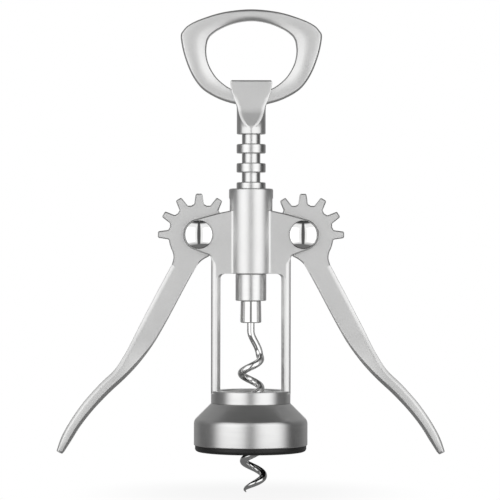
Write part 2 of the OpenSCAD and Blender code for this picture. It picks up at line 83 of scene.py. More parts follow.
# %% The wire class
class Wire:
    """The output of a node, which Python's operators can work on."""

    def __init__(self, tree, socket=None):
        self.tree, self.socket = tree, socket

    def add(self, kind, settings=None, values=None, out=0):
        """A new node: its settings come first, then values or wires for its sockets."""
        made = self.tree.nodes.new(kind)
        for key, value in (settings or {}).items():
            if key == "stops":
                ramp = made.color_ramp
                while len(ramp.elements) < len(value):
                    ramp.elements.new(1.0)
                for element, (place, tone) in zip(ramp.elements, value):
                    element.position, element.color = place, grey(tone)
            else:
                setattr(made, key, value)
        for key, value in (values or {}).items():
            if isinstance(value, Wire):
                self.tree.links.new(value.socket, made.inputs[key])
            else:
                made.inputs[key].default_value = value
        return Wire(self.tree, made.outputs[out])

    def math(self, operation, *others):
        return self.add("ShaderNodeMath", {"operation": operation}, dict(enumerate((self, *others))))

    def __add__(self, other): return self.math("ADD", other)
    def __sub__(self, other): return self.math("SUBTRACT", other)
    def __mul__(self, other): return self.math("MULTIPLY", other)
    def __truediv__(self, other): return self.math("DIVIDE", other)

    def __rsub__(self, other):
        """A number minus this wire."""
        return self.add("ShaderNodeMath", {"operation": "SUBTRACT"}, {0: other, 1: self})

    def step(self, low, high):
        """0 below low, 1 above high, and smooth between."""
        return self.add("ShaderNodeMapRange", {"interpolation_type": "SMOOTHSTEP"},
                        {"Value": self, "From Min": low, "From Max": high})

    def axes(self):
        """The three numbers of a vector."""
        split = self.add("ShaderNodeSeparateXYZ", None, {0: self}).socket.node
        return [Wire(self.tree, o) for o in split.outputs]

    def noise(self, scale, detail=2.0):
        """Cloudy noise about 0, from about -0.5 to 0.5."""
        values = {"Vector": self, "Scale": scale, "Detail": detail, "Roughness": 0.5}
        return self.add("ShaderNodeTexNoise", None, values) - 0.5

    def blend(self, share, other):
        """This colour where share is 0, and the other where it is 1."""
        return self.add("ShaderNodeMix", {"data_type": "RGBA"}, {"Factor": share, 6: self, 7: other}, out=2)

    def rays(self):
        """1 for the camera's own rays, and 1 for rays that metal or glass sends on."""
        path = self.add("ShaderNodeLightPath").socket.node
        camera, glossy, glass = (Wire(self.tree, path.outputs[f"Is {kind} Ray"])
                                 for kind in ("Camera", "Glossy", "Transmission"))
        return camera, glossy.math("MAXIMUM", glass)


def grey(tone):
    return (tone, tone, tone, 1)


print("helpers: Wire, grey")


# %% [markdown]
# ## The studio
#
# Bright metal shows its surroundings and little else, so the light decides how
# each edge reads. The picture was lit from two large soft boxes, left and right
# of the camera, with a narrow dark gap between them where the camera stands and
# dark screens at the sides. The gap gives each round bar its grey middle line,
# and the screens give every piece its thin dark outline against the white
# ground. The soft boxes are area lamps in front of bright parts of the world.
# The gap, the screens and the ceiling are in the world too. The background is
# white to the camera, and metal and glass that look behind the object see the
# same white.

# %% World
# Tones of what the metal mirrors, where 1 is the white of the background
GAP, SOFT_BOX, CEILING, BELOW = 0.1, 0.92, 0.06, 0.12
SCREEN_LEFT, SCREEN_RIGHT, SIDE_WALL, BACK_WALL = 0.1, 0.02, 0.12, 0.3


def new_world():
    world = bpy.data.worlds.new("studio")
    world.use_nodes = True
    bpy.context.scene.world = world
    tree = world.node_tree
    tree.nodes.clear()
    start = Wire(tree)
    x, y, z = start.add("ShaderNodeTexCoord", out="Generated").axes()
    # Angle from the camera's side as a share of a half turn: 0 in front, 1 behind
    share = x.math("ABSOLUTE").math("ARCTAN2", y * -1) / math.pi

    def round_one_side(screen):
        stops = [(0.0, GAP), (0.036, GAP), (0.052, SOFT_BOX), (0.38, SOFT_BOX), (0.45, screen),
                 (0.56, screen), (0.64, SIDE_WALL), (0.8, BACK_WALL), (1.0, BACK_WALL)]
        return start.add("ShaderNodeValToRGB", {"stops": stops}, {"Fac": share}, out="Color")

    room = round_one_side(SCREEN_LEFT).blend(x.step(-0.02, 0.02), round_one_side(SCREEN_RIGHT))
    room = room.blend(z.step(0.71, 0.83), grey(CEILING)).blend((z * -1).step(0.5, 0.8), grey(BELOW))
    from_camera, sent_on = start.rays()
    backdrop = share.step(0.92, 0.95) * (1 - z.math("ABSOLUTE").step(0.2, 0.3))
    seen = room.blend(from_camera.math("MAXIMUM", backdrop * sent_on), grey(1))
    glow = start.add("ShaderNodeBackground", None, {"Color": seen, "Strength": 1.0})
    tree.links.new(glow.socket, tree.nodes.new("ShaderNodeOutputWorld").inputs["Surface"])
    print("world:", len(tree.nodes), "nodes")


new_world()


# %% Lamps
BOX_W, BOX_H, BOX_RADIANCE = 1.0, 1.6, 0.3
BOX_ANGLE, BOX_FAR, BOX_UP = 40, 1.25, 0.06


def soft_box(name, side):
    """An area lamp that looks as bright as a surface of its radiance."""
    a = math.radians(BOX_ANGLE)
    spot = Vector((side * math.sin(a) * BOX_FAR, -math.cos(a) * BOX_FAR, BOX_UP))
    bpy.ops.object.light_add(type="AREA", location=spot)
    lamp = bpy.context.object
    lamp.name = name
    lamp.rotation_euler = (Vector((0, 0, BOX_UP)) - spot).to_track_quat("-Z", "Y").to_euler()
    lamp.data.shape = "RECTANGLE"
    lamp.data.size, lamp.data.size_y = BOX_W, BOX_H
    lamp.data.energy = BOX_RADIANCE * math.pi * BOX_W * BOX_H
    lamp.visible_camera = False
    print(name, round(lamp.data.energy, 2), "W")


soft_box("soft_box_left", -1)
soft_box("soft_box_right", 1)

# %% [markdown]
# ## The floor
#
# The corkscrew stands over a plain pale table. A white that comes from more light
# would burn out the metal, so the table's material shows the camera mostly plain
# white, and keeps a share of its real shading under the tool, where the soft
# shadow lies. Metal that mirrors the table sees it nearly dark, because that is
# what draws the dark lower outline of every tooth, ring and bevel in the picture.

# %% Floor
FLOOR_Z, TABLE_R, TABLE_TONE, TABLE_MIRRORED = -25.6, 100, 0.82, 0.14
WHITE_UNDER, DARK_SHARE = 0.9, 0.85


def pale_table():
    material = bpy.data.materials.new("pale_table")
    material.use_nodes = True
    tree = material.node_tree
    shader = tree.nodes["Principled BSDF"]
    shader.inputs["Roughness"].default_value = 0.9
    shader.inputs["Specular IOR Level"].default_value = 0.1
    start = Wire(tree)
    place_on = start.add("ShaderNodeTexCoord", out="Object")
    tone = place_on.noise(9.0) * 0.01 + TABLE_TONE
    colour = start.add("ShaderNodeCombineColor", None, {0: tone, 1: tone, 2: tone})
    tree.links.new(colour.socket, shader.inputs["Base Color"])
    white, dark = (start.add("ShaderNodeEmission", None, {"Color": grey(t), "Strength": 1.0})
                   for t in (1, TABLE_MIRRORED))
    x, y, _ = place_on.axes()
    far_off = (x * x + y * y).math("SQRT").step(0.015, 0.07)
    from_camera, sent_on = start.rays()
    plain = from_camera * (far_off * (1 - WHITE_UNDER) + WHITE_UNDER)
    shown = start.add("ShaderNodeMixShader", None, {0: plain, 1: Wire(tree, shader.outputs[0]), 2: white})
    shown = start.add("ShaderNodeMixShader", None, {0: sent_on * DARK_SHARE, 1: shown, 2: dark})
    tree.links.new(shown.socket, tree.nodes["Material Output"].inputs["Surface"])
    return material


bpy.ops.object.select_all(action="DESELECT")
bpy.ops.mesh.primitive_circle_add(vertices=96, radius=TABLE_R * MM, fill_type="NGON")
table = bpy.context.object
table.name = "table"
table.location.z = FLOOR_Z * MM
table.data.materials.append(pale_table())
print("table at", FLOOR_Z, "mm")


# %% [markdown]
# ## The finishes
#
# Six finishes make the whole tool. All of them are metals or a plastic of one
# colour, so what tells them apart is how rough they are and which way their fine
# marks run. A photograph of each metal could be used as a texture, but it would
# need a flat layout for each piece. Noise that is read from the object's own
# coordinates needs none, and it can be stretched: marks that run round the axis
# come from noise on radius and height, with the angle nearly left out.

# %% Finish helpers
FINISH = "_finish"
ROUND_SHARE, WARMTH = 0.0015, 0.995


def finish(name, tone, shades, rough, smudges, bump, bump_size, metallic=1.0):
    """A finish. Each noise is given by its field, scale and detail, and last by its share."""
    material = bpy.data.materials.new(name + FINISH)
    material.use_nodes = True
    tree = material.node_tree
    shader = tree.nodes["Principled BSDF"]
    shader.inputs["Metallic"].default_value = metallic
    start = Wire(tree)
    place_on = start.add("ShaderNodeTexCoord", out="Object")
    x, y, z = place_on.axes()
    radius = (x * x + y * y).math("SQRT")
    turn = x.math("ARCTAN2", y) * ROUND_SHARE
    ring_wise = start.add("ShaderNodeCombineXYZ", None, {0: radius, 1: turn, 2: z})
    fields = {"all": place_on, "rings": ring_wise}

    def spread(base, rows):
        for field, scale, detail, share in rows:
            base = fields[field].noise(scale, detail) * share + base
        return base

    shade = spread(tone, shades)
    colour = start.add("ShaderNodeCombineColor", None, {0: shade, 1: shade, 2: shade * WARMTH})
    tree.links.new(colour.socket, shader.inputs["Base Color"])
    tree.links.new(spread(rough, smudges).socket, shader.inputs["Roughness"])
    field, scale, detail = bump
    lumps = {"Strength": 1.0, "Distance": bump_size, "Height": fields[field].noise(scale, detail)}
    relief = start.add("ShaderNodeBump", None, lumps)
    tree.links.new(relief.socket, shader.inputs["Normal"])
    print(name, "finish:", len(tree.nodes), "nodes")
    return material


print("helper: finish")


# %% [markdown]
# ### Cast zinc alloy, satin chromed
#
# The frame, wings and handle are die castings. They are tumbled and then plated,
# so their faces keep a fine, even grain with faint clouds where the tumbling
# rubbed more or less. Fine noise gives the grain, and broad noise the clouds.

# %% Cast alloy
cast_alloy = finish(
    "cast_alloy", tone=0.86, shades=[("all", 60, 3, 0.05), ("all", 1400, 2, 0.05)],
    rough=0.41, smudges=[("all", 110, 3, 0.08)], bump=("all", 1600, 3), bump_size=0.000012)

# %% [markdown]
# ### Turned steel
#
# The round rack and the stop collar come off a lathe, and the tool leaves fine
# rings all round. Noise on height and radius alone draws such rings.

# %% Turned steel
turned_steel = finish(
    "turned_steel", tone=0.84, shades=[("rings", 1500, 3, 0.1)], rough=0.32,
    smudges=[("rings", 900, 2, 0.1), ("all", 90, 2, 0.04)], bump=("rings", 5000, 2), bump_size=0.000003)

# %% [markdown]
# ### Brushed shell
#
# The bell's skirt and the collar were held against a brush as they turned. The
# marks are coarser than a lathe's, run level round the shell, and break off.

# %% Brushed shell
brushed_shell = finish(
    "brushed_shell", tone=0.81, shades=[("rings", 900, 3, 0.09)], rough=0.32,
    smudges=[("rings", 1300, 3, 0.08)], bump=("rings", 3200, 2), bump_size=0.0000015)

# %% [markdown]
# ### Bright chrome
#
# The worm, its collet and the rivet caps are polished before plating, and mirror
# the studio. Only faint smudges from fingers keep them from being perfect.

# %% Bright chrome
chrome_steel = finish(
    "chrome_steel", tone=0.92, shades=[("all", 300, 2, 0.03)], rough=0.045,
    smudges=[("all", 180, 3, 0.05)], bump=("all", 240, 2), bump_size=0.000004)

# %% [markdown]
# ### Plain steel
#
# Pins, washers, screws and the hidden rod are standard parts in dull steel, with
# a slightly darker, cloudy skin from heat treatment and oil.

# %% Plain steel
plain_steel = finish(
    "plain_steel", tone=0.6, shades=[("all", 400, 3, 0.14)], rough=0.32,
    smudges=[("all", 300, 3, 0.14)], bump=("all", 2600, 2), bump_size=0.000006)

# %% [markdown]
# ### Black plastic
#
# The insert in the bell is moulded in black plastic, and the mould's spark
# erosion gives it a fine, even grain that keeps it from shining.

# %% Black plastic
black_plastic = finish(
    "black_plastic", tone=0.022, shades=[("all", 500, 3, 0.008)], rough=0.42,
    smudges=[("all", 700, 3, 0.12)], bump=("all", 2400, 3), bump_size=0.000015, metallic=0.0)

# %% [markdown]
# ## Modelling helpers
#
# Every operator of Blender works on what is selected, so the first helpers pick
# one object, or the faces of one mesh, and nothing else. Two more helpers stand
# for the two ways in which most of this tool is made. `turned` is a lathe: it
# draws half a section and spins it. `loft` is a casting: it starts from a circle,
# and each new section is extruded from the last one and put in its place.

# %% Picking and editing
def pick(*objects):
    bpy.ops.object.select_all(action="DESELECT")
    for obj in objects:
        obj.select_set(True)
    bpy.context.view_layer.objects.active = objects[0]


def fresh(add, **options):
    """A new primitive, made while nothing else is selected."""
    bpy.ops.object.select_all(action="DESELECT")
    add(**options)
    return bpy.context.object


@contextmanager
def editing(obj, kind="VERT"):
    """Edit mode on one object, with nothing selected."""
    pick(obj)
    bpy.ops.object.mode_set(mode="EDIT")
    bpy.ops.mesh.select_mode(type=kind)
    bpy.ops.mesh.select_all(action="DESELECT")
    yield
    bpy.ops.object.mode_set(mode="OBJECT")


def choose(obj, parts, test):
    """Selects the verts, edges or faces that pass a test."""
    mesh = bmesh.from_edit_mesh(obj.data)
    for part in getattr(mesh, parts):
        part.select_set(bool(test(part)))
    mesh.select_flush_mode()
    bmesh.update_edit_mesh(obj.data)


def outward(obj, merge=0.5e-6):
    """Merges doubles and turns every face outwards."""
    with editing(obj):
        bpy.ops.mesh.select_all(action="SELECT")
        bpy.ops.mesh.remove_doubles(threshold=merge)
        bpy.ops.mesh.normals_make_consistent(inside=False)


print("helpers: pick, fresh, editing, choose, outward")


# %% Joining, smoothing and placing
def apply_all(obj):
    pick(obj)
    for modifier in list(obj.modifiers):
        bpy.ops.object.modifier_apply(modifier=modifier.name)


def combine(obj, tool, operation="UNION"):
    """Joins a second solid to the first, or cuts it away."""
    cut = obj.modifiers.new("combine", "BOOLEAN")
    cut.operation, cut.solver, cut.object = operation, "EXACT", tool
    apply_all(obj)
    bpy.data.objects.remove(tool)


def smooth(obj, angle, weighted):
    """Soft shading over gentle edges. Large flat faces keep their own normal."""
    pick(obj)
    bpy.ops.object.shade_smooth_by_angle(angle=math.radians(angle))
    if weighted:
        obj.modifiers.new("flats", "WEIGHTED_NORMAL").keep_sharp = True
        apply_all(obj)


def lay(obj, turn=(0, 0, 0), at=(0, 0, 0)):
    """Turns and moves a piece, and writes its place into its mesh."""
    pick(obj)
    obj.rotation_euler = [math.radians(a) for a in turn]
    obj.location = Vector(at) * MM
    bpy.ops.object.transform_apply(location=True, rotation=True, scale=True)
    return obj


def copy_of(obj, mirrored=False):
    """A copy with its own mesh, mirrored left to right if asked."""
    pick(obj)
    bpy.ops.object.duplicate()
    made = bpy.context.object
    if mirrored:
        made.scale.x = -1
        bpy.ops.object.transform_apply(location=False, rotation=False, scale=True)
        outward(made)
    return made


def place(obj, name, body, material, *stands_for, angle=40, weighted=True):
    """Smooths a finished piece, names it, gives it its finish and ties it to its body."""
    smooth(obj, angle, weighted)
    obj.name = obj.data.name = name
    obj.data.materials.clear()
    obj.data.materials.append(material)
    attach(obj, body)
    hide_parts(*stands_for)
    faces = sum(len(p.vertices) - 2 for p in obj.data.polygons)
    print(f"{name}: {faces} triangles, {material.name}")


print("helpers: apply_all, combine, smooth, lay, copy_of, place")


# %% Lathe
def chain(points, name):
    """A chain of edges through points in mm, drawn by extruding one vertex."""
    obj = fresh(bpy.ops.mesh.primitive_plane_add, size=MM)
    obj.name = name
    with editing(obj):
        bpy.ops.mesh.select_all(action="SELECT")
        bpy.ops.mesh.merge(type="CENTER")
        bpy.ops.mesh.select_all(action="SELECT")
        last = Vector((0, 0, 0))
        for i, point in enumerate(points):
            move = Vector(point) * MM - last
            if i:
                bpy.ops.mesh.extrude_vertices_move(TRANSFORM_OT_translate={"value": move})
            else:
                bpy.ops.transform.translate(value=move)
            last += move
    return obj


def turned(name, profile, steps=96, segments=3):
    """A profile of (radius, height, rounding) in mm, spun about Z. One that starts off the axis is closed."""
    closing = profile[:1] if profile[0][0] else []
    obj = chain([(r, 0, z) for r, z, _ in [*profile, *closing]], name)
    with editing(obj):
        bpy.ops.mesh.select_all(action="SELECT")
        bpy.ops.mesh.remove_doubles(threshold=0.5e-6)
        for size in sorted({p[2] for p in profile if p[2]}):
            spots = [Vector((r, 0, z)) * MM for r, z, rounding in profile if rounding == size]
            choose(obj, "verts", lambda v: any((v.co - s).length < 1e-6 for s in spots))
            bpy.ops.mesh.bevel(offset=size * MM, segments=segments, affect="VERTICES")
        bpy.ops.mesh.select_all(action="SELECT")
        bpy.ops.mesh.spin(steps=steps, angle=2 * math.pi, center=(0, 0, 0), axis=(0, 0, 1))
    outward(obj, 2e-6)
    return obj


print("helpers: chain, turned")


# %% Loft
def loft(name, sections, closed=False):
    """A skin through sections with equal numbers of points, in mm."""
    obj = fresh(bpy.ops.mesh.primitive_circle_add, vertices=len(sections[0]), radius=MM,
                fill_type="NOTHING" if closed else "NGON")
    obj.name = name
    before = None
    with editing(obj):
        bpy.ops.mesh.select_all(action="SELECT")
        for section in [*sections, *([sections[0]] if closed else [])]:
            points = [Vector(p) * MM for p in section]
            if before:
                bpy.ops.mesh.extrude_region_move()
            mesh = bmesh.from_edit_mesh(obj.data)
            if before:
                finder = kdtree.KDTree(len(before))
                for k, p in enumerate(before):
                    finder.insert(p, k)
                finder.balance()
                for v in [v for v in mesh.verts if v.select]:
                    v.co = points[finder.find(v.co)[1]]
            else:
                mesh.verts.ensure_lookup_table()
                for v, p in zip(mesh.verts, points):
                    v.co = p
            bmesh.update_edit_mesh(obj.data)
            before = points
    outward(obj, 1e-6)
    return obj


print("helper: loft")


# %% Flat plates
def plate(name, outline, y_front, y_back, keep, edge=0.4):
    """A flat plate cut to an outline of (x, z) in mm, with its edges broken front and back."""
    obj = fresh(bpy.ops.mesh.primitive_circle_add, vertices=len(outline), radius=MM, fill_type="NGON")
    obj.name = name
    with editing(obj, "EDGE"):
        mesh = bmesh.from_edit_mesh(obj.data)
        mesh.verts.ensure_lookup_table()
        for v, (x, z) in zip(mesh.verts, outline):
            v.co = Vector((x, y_front, z)) * MM
        bmesh.update_edit_mesh(obj.data)
        bpy.ops.mesh.select_all(action="SELECT")
        bpy.ops.mesh.extrude_region_move(TRANSFORM_OT_translate={"value": (0, (y_back - y_front) * MM, 0)})

        def rim(e):
            a, b = (v.co / MM for v in e.verts)
            return abs(a.y - b.y) < 1e-3 and keep(a, b)

        choose(obj, "edges", rim)
        bpy.ops.mesh.bevel(offset=edge * MM, segments=1, affect="EDGES")
    outward(obj)
    return obj


print("helper: plate")


# %% Numbers, arcs and curves
def mix(a, b, t):
    return a + (b - a) * t


def soft_step(t):
    s = max(0.0, min(1.0, t))
    return s * s * (3 - 2 * s)


def arc(centre, r, start, stop, count):
    """Points of an arc about (x, z), from one angle to another in degrees."""
    turns = [math.radians(mix(start, stop, k / count)) for k in range(count + 1)]
    return [(centre[0] + r * math.cos(a), centre[1] + r * math.sin(a)) for a in turns]


def curve_through(points, steps, closed=False):
    """A smooth curve through points of any number of columns."""
    n = len(points)
    at = (lambda i: points[i % n]) if closed else (lambda i: points[max(0, min(n - 1, i))])
    made = []
    for i in range(n if closed else n - 1):
        a, b, c, d = at(i - 1), at(i), at(i + 1), at(i + 2)
        for k in range(steps):
            t = k / steps
            made.append([0.5 * (2 * q + (r - p) * t + (2 * p - 5 * q + 4 * r - s) * t ** 2
                                + (3 * q - p - 3 * r + s) * t ** 3) for p, q, r, s in zip(a, b, c, d)])
    return made if closed else [*made, list(points[-1])]


print("helpers: mix, soft_step, arc, curve_through")


# %% [markdown]
# ## Levels of the whole tool
#
# The frame gives each part's box, but a profile needs its inner levels too. They
# are the levels of the engineering model, in millimetres. Heights are counted
# from the seat that stops on the bottle's mouth.

# %% Heights and radii
skirt_r, foot_r, liner_r, socket_r, collar_r, guide_r = 20.1, 19.7, 18.5, 15.5, 14.05, 5.525
foot_z, skirt_z, cone_z, collar_z, rim_z = -10.7, -8.5, 0.3, 6.4, 10.8
floor_z, floor_r, inner_cone_z = 3.85, 14.4665, -0.3177
barrel_r, bore_r, barrel_z, barrel_top = 7.8, 5.25, 52.1, 82.1812
pivot_x, pivot_z = 18.3916, 65.8906
plate_in, plate_y = 2.0, 4.5
slot_half_h = 12.7906
window_half, window_r = 10.8, 1.8
rack_low, rack_top, rack_pitch = 52.3, 101.366, 6.75
stem_z, ring_z = 101.416, 111.266
stop_low, stop_top, collet_low = 42.55, 52.05, 34.75
rest_gap = 0.05
# Fixed holes on rod and pins, the pins themselves, and holes that turn or slide on them
rod_hole_r, pin_r, turning_hole_r = 2.02, 2.0, 2.05
print("pivots at", (pivot_x, pivot_z), "mm")

# %% [markdown]
# ## Bell
#
# The bell centres the tool on the bottle. The real one is pressed or cast, then
# turned and brushed on a lathe, so here it is turned too: one closed profile for
# the floor, the cone and the skirt, inside and outside. The corner between cone
# and skirt is a soft bend of more than two millimetres, which is what makes the
# bright band there fade instead of stopping.

# %% Bell
SKIRT_WALL = 1.5
bell = turned("bell", [
    (guide_r, collar_z - rest_gap, 0.2), (guide_r, floor_z, 0.2), (floor_r, floor_z, 0),
    (skirt_r - SKIRT_WALL, inner_cone_z, 0.4), (skirt_r - SKIRT_WALL, skirt_z, 0.2), (skirt_r, skirt_z, 0.35),
    (skirt_r, cone_z, 1.0), (collar_r, collar_z - rest_gap, 0.15)], steps=160, segments=5)
place(bell, "bell_shell", "frame", brushed_shell, "bell")

# %% [markdown]
# ## Insert, foot and screws
#
# A black plastic insert fills the bell. Its flange is the dark foot below the
# skirt, its socket takes the bottle's mouth, and two countersunk screws hold it
# and the bell under the frame. The insert is one turned profile with two screw
# holes cut away. One screw is turned, gets its cross recess, and is copied.

# %% Insert
MOUTH_BEVEL, FOOT_BEVEL = 0.88, 0.66
SCREW_X, SCREW_R, SHANK_R, SCREW_TOP, SCREW_FIT = 8.6, 2.3, 1.25, 8.2, 0.02
CONE_LOW, CONE_TOP = 0.5, 1.55
liner = turned("liner", [
    (guide_r, floor_z - rest_gap, 0.2), (guide_r, 0, 0.3), (socket_r, 0, 0.25),
    (socket_r, foot_z + MOUTH_BEVEL, 0.2), (socket_r + MOUTH_BEVEL, foot_z, 0.2),
    (foot_r - FOOT_BEVEL, foot_z, 0.45), (foot_r, foot_z + FOOT_BEVEL, 0.45),
    (foot_r, skirt_z - rest_gap, 0.2), (liner_r, skirt_z - rest_gap, 0), (liner_r, inner_cone_z - 0.15, 0.3),
    (floor_r - 0.1, floor_z - rest_gap, 0.2)], steps=128)
seat_r, drill_r = SCREW_R + SCREW_FIT, SHANK_R + SCREW_FIT
sink = turned("sink", [(0, -1, 0), (seat_r, -1, 0), (seat_r, CONE_LOW + SCREW_FIT, 0),
                       (drill_r, CONE_TOP + SCREW_FIT, 0), (drill_r, 9, 0), (0, 9, 0)], steps=40)
for side in (-1, 1):
    combine(liner, lay(copy_of(sink), at=(side * SCREW_X, 0, 0)), "DIFFERENCE")
bpy.data.objects.remove(sink)
place(liner, "neck_liner_and_foot", "frame", black_plastic, "neck_liner")

# %% Screws
RECESS, RECESS_TAPER = (2.6, 0.55, 1.6), (0.55, 0.6, 1)
screw = turned("screw", [(0, rest_gap, 0), (SCREW_R, rest_gap, 0.08), (SCREW_R, CONE_LOW, 0.05),
                         (SHANK_R, CONE_TOP, 0.1), (SHANK_R, SCREW_TOP, 0.2), (0, SCREW_TOP, 0)], steps=40)
for turn in (45, 135):
    recess = fresh(bpy.ops.mesh.primitive_cube_add, size=MM)
    recess.scale = RECESS
    with editing(recess, "FACE"):
        choose(recess, "faces", lambda f: f.normal.z > 0.5)
        bpy.ops.transform.resize(value=RECESS_TAPER)
    combine(screw, lay(recess, (0, 0, turn), (0, 0, 0.15)), "DIFFERENCE")
other = lay(copy_of(screw), at=(SCREW_X, 0, 0))
lay(screw, at=(-SCREW_X, 0, 0))
pick(screw, other)
bpy.ops.object.join()
place(screw, "bell_screw_pair", "frame", plain_steel, "bell_screws", angle=35)

# %% [markdown]
# ## Round rack
#
# The rack is a steel tube with grooves turned all round, so the wings mesh with
# it however the handle is turned. Its profile is a row of equal rings, written
# with a loop. Each ring's edges are broken, which gives the thin bright lines
# above and below it.

# %% Rack
GROOVE_R, RING_R, RING_HALF = 3.25, 5.15, 1.65
rings = []
for i in range(-2, 5):
    middle = pivot_z + (i + 0.5) * rack_pitch
    rings += [(GROOVE_R, middle - RING_HALF, 0.25), (RING_R, middle - RING_HALF, 0.4),
              (RING_R, middle + RING_HALF, 0.4), (GROOVE_R, middle + RING_HALF, 0.25)]
rack = turned("rack", [(turning_hole_r, rack_low, 0), (GROOVE_R, rack_low, 0.2), *rings,
                       (GROOVE_R, rack_top, 0.2), (turning_hole_r, rack_top, 0)])
place(rack, "round_rack", "rack", turned_steel, "rack_shaft")

# %% [markdown]
# ## Stop collar and collet
#
# The collar on the rod stops under the barrel, and the collet below it grips the
# worm. Both are plain turned sleeves. The collet widens a little towards its lower
# edge and is polished, and the collar keeps the marks of the lathe.

# %% Collars
STOP_R, COLLET_LOW_R, COLLET_TOP_R, WIRE_HOLE_R = 5.45, 3.75, 3.6, 1.345
collar = turned("stop", [(rod_hole_r, stop_low, 0), (STOP_R, stop_low, 0.35), (STOP_R, stop_top, 0.35),
                         (rod_hole_r, stop_top, 0)])
place(collar, "stop_collar_turned", "spindle", turned_steel, "stop_collar")
collet_top = stop_low - rest_gap
collet = turned("collet", [(WIRE_HOLE_R, collet_low, 0.25), (COLLET_LOW_R, collet_low, 0.45),
                           (COLLET_TOP_R, collet_top, 0.25), (WIRE_HOLE_R, collet_top, 0)])
place(collet, "collet_polished", "spindle", chrome_steel, "worm_collet")

# %% [markdown]
# ## Worm
#
# The worm is one steel wire, wound into an open helix and ground to a point. It
# could be a curve with a round bevel, but a curve can't change its section
# towards the point as a grinder does. So it is a loft: each section is a circle
# that stands square to the wire, and the last turn's circles shrink.

# %% Worm
wire_r, helix_r, worm_pitch = 1.325, 3.4, 10.3
worm_tip_z, worm_top_z = -25.2, collet_low + 2
worm_axis_z, worm_ease = collet_low - 2.8, 8
worm_join_z = worm_axis_z - 1.25 * worm_ease
lead_turn, tip_angle = 35, -209
WORM_LEAN, WORM_STEPS, WIRE_SIDES, POINT_LENGTH, TIP_SHARE = 1.4, 230, 24, 11, 0.1


def helix_angle(z):
    return tip_angle + 360 * (z - worm_tip_z) / worm_pitch


def worm_middle(z):
    """Middle of the wire at a height, and the direction away from the helix's axis."""
    angle, join = helix_angle(z), helix_angle(worm_join_z)
    if angle > join:
        angle = join + lead_turn * (1 - math.exp((join - angle) / lead_turn))
    r = helix_r * soft_step((worm_axis_z - z) / worm_ease)
    a = math.radians(angle)
    lean = WORM_LEAN * (max(0, worm_axis_z - z) / (worm_axis_z - worm_tip_z)) ** 2
    return Vector((r * math.cos(a) + lean, r * math.sin(a), z)), Vector((math.cos(a), math.sin(a), 0))


def worm_section(z):
    """A circle round the wire's middle, square to the way the wire runs."""
    middle, out = worm_middle(z)
    ahead, behind = (worm_middle(max(worm_tip_z, min(z + d, worm_top_z)))[0] for d in (0.05, -0.05))
    run = (ahead - behind).normalized()
    u = (out - run * out.dot(run)).normalized()
    v = run.cross(u)
    ground = soft_step((z - worm_tip_z) / POINT_LENGTH + 0.5) * 2 - 1
    r = wire_r * mix(TIP_SHARE, 1, ground)
    turns = [2 * math.pi * k / WIRE_SIDES for k in range(WIRE_SIDES)]
    return [middle + r * (math.cos(t) * u - math.sin(t) * v) for t in turns]


worm = loft("worm", [worm_section(mix(worm_tip_z, worm_top_z, i / WORM_STEPS))
                     for i in range(WORM_STEPS + 1)])
place(worm, "wire_worm", "spindle", chrome_steel, "worm", angle=60, weighted=False)

# %% [markdown]
# ## Pivots
#
# Each wing turns on a pin between two thin washers. In front the pin ends in a
# polished dome, and behind in a flat head. The dome is a slice of a large sphere,
# cut off with bisect, and it was meant to stand on a short upright rim with a
# broken edge. A fault is left here: bisect's threshold of 0.1 mm is too wide for a
# piece this small. It takes three rings of the sphere for the cut, so the rim and
# its bevel don't come out, and the base isn't closed. Pins and washers are turned
# and then laid down, because the pins run from front to back.

# %% Domes
CAP_R, CAP_H, CROWN_R, CAP_EDGE = 4.9, 1.9, 9.0, 0.1


def dome():
    ball = fresh(bpy.ops.mesh.primitive_uv_sphere_add, segments=128, ring_count=192, radius=CROWN_R * MM)
    cap = lay(ball, at=(0, 0, CAP_H - CROWN_R))
    upright = (CAP_H - CROWN_R + math.sqrt(CROWN_R ** 2 - CAP_R ** 2)) * MM
    with editing(cap, "EDGE"):
        bpy.ops.mesh.select_all(action="SELECT")
        bpy.ops.mesh.bisect(plane_co=(0, 0, upright), plane_no=(0, 0, 1), use_fill=True, clear_inner=True)
        choose(cap, "faces", lambda f: f.normal.z < -0.9)
        bpy.ops.mesh.extrude_region_move(TRANSFORM_OT_translate={"value": (0, 0, -upright)})
        choose(cap, "edges", lambda e: all(abs(v.co.z - upright) < 2e-6 for v in e.verts))
        bpy.ops.mesh.bevel(offset=CAP_EDGE * MM, segments=2, affect="EDGES")
    outward(cap)
    return cap


for side, word in ((-1, "left"), (1, "right")):
    cap = lay(dome(), (90, 0, 0), (side * pivot_x, -plate_y - rest_gap, pivot_z))
    place(cap, f"{word}_cap_dome", "frame", chrome_steel, f"{word}_pivot_cap")

